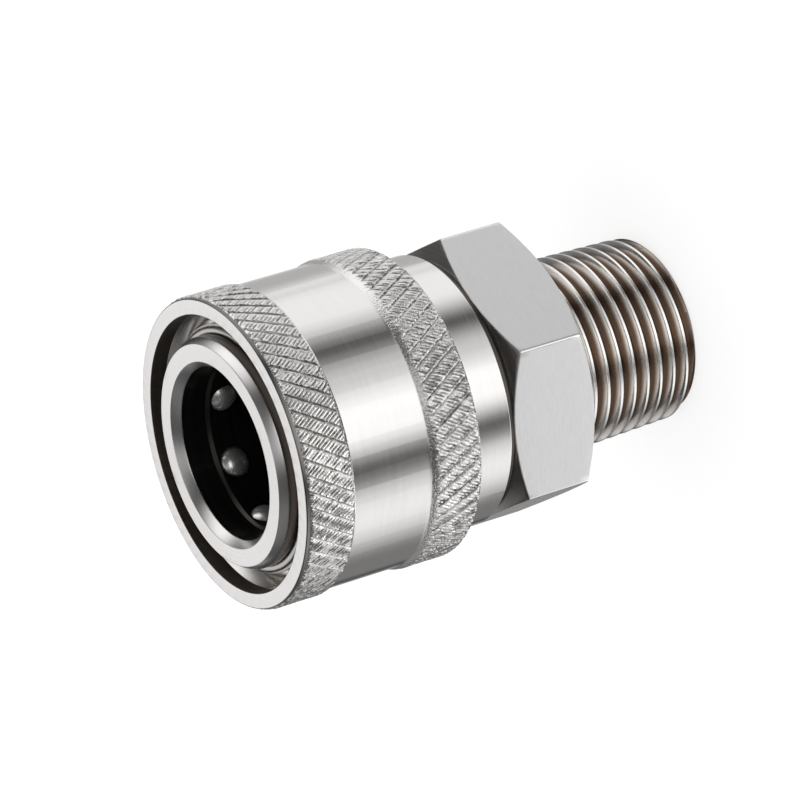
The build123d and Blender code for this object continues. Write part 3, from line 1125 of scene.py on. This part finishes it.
# %% World
# name, azimuth, half width at full strength, fade, strength, elevations: rises from, to, falls from, to
SOFT_LIGHTS = [
    ("right", 36, 2, 44, 0.79, -62, -50, -14, 4),
    ("low fill", 11, 45, 10, 0.19, -62, -50, -6, 8),
    ("key", 107, 5, 29, 1.17, -62, -50, -14, 5),
    ("key edge", 140, 2, 29, 0.68, -62, -50, -14, 5),
    ("left", 208, 12, 33, 0.98, -80, -70, 30, 48),
    ("back fill", 261, 23, 8, 0.47, -74, -58, -18, -6),
    ("back", 297, 0, 23, 0.59, -74, -58, -27, -16),
    ("under", 64, 25, 22, 1.75, -62, -54, -44, -36),
    ("high key", 104, 4, 26, 0.24, 22, 34, 48, 60),
    ("ball key", 116, 8, 20, 1.35, 13, 19, 26, 34),
    ("side", 25, 15, 30, 0.11, 0, 20, 30, 45),
    ("behind", 250, 30, 20, 0.13, -12, -4, 30, 50),
    ("far corner", 322, 10, 20, 0.30, -16, -8, 0, 8),
    ("ceiling", 303, 22, 22, 0.82, 8, 20, 60, 74),
    ("overhead key", 122, 34, 40, 0.45, 54, 62, 72, 82),
    ("roof", 0, 180, 1, 0.30, 66, 80, 91, 92),
]
GAP_LEVEL = (0.01, 0.045)
GAP_RISE = 40


def soft_light(tree, level, height, azimuth, full, fade, strength, rise, up, fall, down):
    """Brightness of one light: full within a sector of azimuth and a band of elevation, soft at its edges.
    It is the product of three smooth steps, and level is the ray's direction without its height."""
    towards = (cos(radians(azimuth)), sin(radians(azimuth)), 0)
    facing = add(tree, "ShaderNodeVectorMath", {0: level, 1: towards}, operation="DOT_PRODUCT")
    angle = add(tree, "ShaderNodeMath", {0: facing}, operation="ARCCOSINE")
    light = 1.0
    for value, start, end, low, high in (
        (height, rise, up, 0.0, 1.0),
        (height, fall, down, 1.0, 0.0),
        (angle, full, full + fade, strength, 0.0),
    ):
        step = add(tree, "ShaderNodeMapRange", {
            "Value": value, "From Min": radians(start), "From Max": radians(end),
            "To Min": low, "To Max": high,
        }, interpolation_type="SMOOTHSTEP")
        light = add(tree, "ShaderNodeMath", {0: light, 1: step}, operation="MULTIPLY")
    return light


def studio():
    """World light: the sum of the soft lights, on a faint grey that keeps the gaps from going black."""
    world = bpy.data.worlds.new("studio")
    bpy.context.scene.world = world
    world.use_nodes = True
    tree = world.node_tree
    tree.nodes.clear()
    look = add(tree, "ShaderNodeTexCoord").outputs["Generated"]
    x, y, z = add(tree, "ShaderNodeSeparateXYZ", {0: look}).outputs
    flat = add(tree, "ShaderNodeCombineXYZ", {0: x, 1: y})
    level = add(tree, "ShaderNodeVectorMath", {0: flat}, operation="NORMALIZE")
    height = add(tree, "ShaderNodeMath", {0: z}, operation="ARCSINE")
    total = add(tree, "ShaderNodeMapRange", {
        "Value": height, "From Max": radians(GAP_RISE), "To Min": GAP_LEVEL[0], "To Max": GAP_LEVEL[1],
    }, interpolation_type="SMOOTHSTEP")
    for _, *light in SOFT_LIGHTS:
        light = soft_light(tree, level, height, *light)
        total = add(tree, "ShaderNodeMath", {0: total, 1: light}, operation="ADD")
    mirror = add(tree, "ShaderNodeBackground", {"Color": (1, 1, 1, 1), "Strength": total})
    even = add(tree, "ShaderNodeBackground", {"Color": (1, 1, 1, 1), "Strength": 1.0})
    glossy = add(tree, "ShaderNodeLightPath").outputs["Is Glossy Ray"]
    mixed = add(tree, "ShaderNodeMixShader", {0: glossy, 1: even, 2: mirror})
    add(tree, "ShaderNodeOutputWorld", {"Surface": mixed})
    print("studio:", len(SOFT_LIGHTS), "soft lights")


studio()

# %% [markdown]
# ## Floor
#
# The object stands on plain white paper. A part of the paper's brightness is its own, so it stays white and
# the shadow is faint. Its underside is clear, so that the object can also be looked at from below.

# %% Floor
FLOOR_SIZE = 6.0


def make_floor():
    """A wide level square under the object."""
    corners = np.array([(-1, -1, 0), (1, -1, 0), (1, 1, 0), (-1, 1, 0)]) * FLOOR_SIZE / 2
    mesh = bpy.data.meshes.new("floor")
    mesh.from_pydata(corners.tolist(), [], [(0, 1, 2, 3)])
    floor = new_object("floor", mesh)
    material, tree = new_material("white paper sweep")
    paper = add(tree, "ShaderNodeBsdfPrincipled", {
        "Base Color": (0.35, 0.35, 0.35, 1.0),
        "Roughness": 0.9,
        "Specular IOR Level": 0.0,
        "Emission Color": (1, 1, 1, 1),
        "Emission Strength": 0.72,
    })
    underside = add(tree, "ShaderNodeNewGeometry").outputs["Backfacing"]
    clear = add(tree, "ShaderNodeBsdfTransparent")
    sheet = add(tree, "ShaderNodeMixShader", {0: underside, 1: paper, 2: clear})
    add(tree, "ShaderNodeOutputMaterial", {"Surface": sheet})
    mesh.materials.append(material)
    floor.visible_glossy = False
    print("floor:", FLOOR_SIZE, "m square")


make_floor()
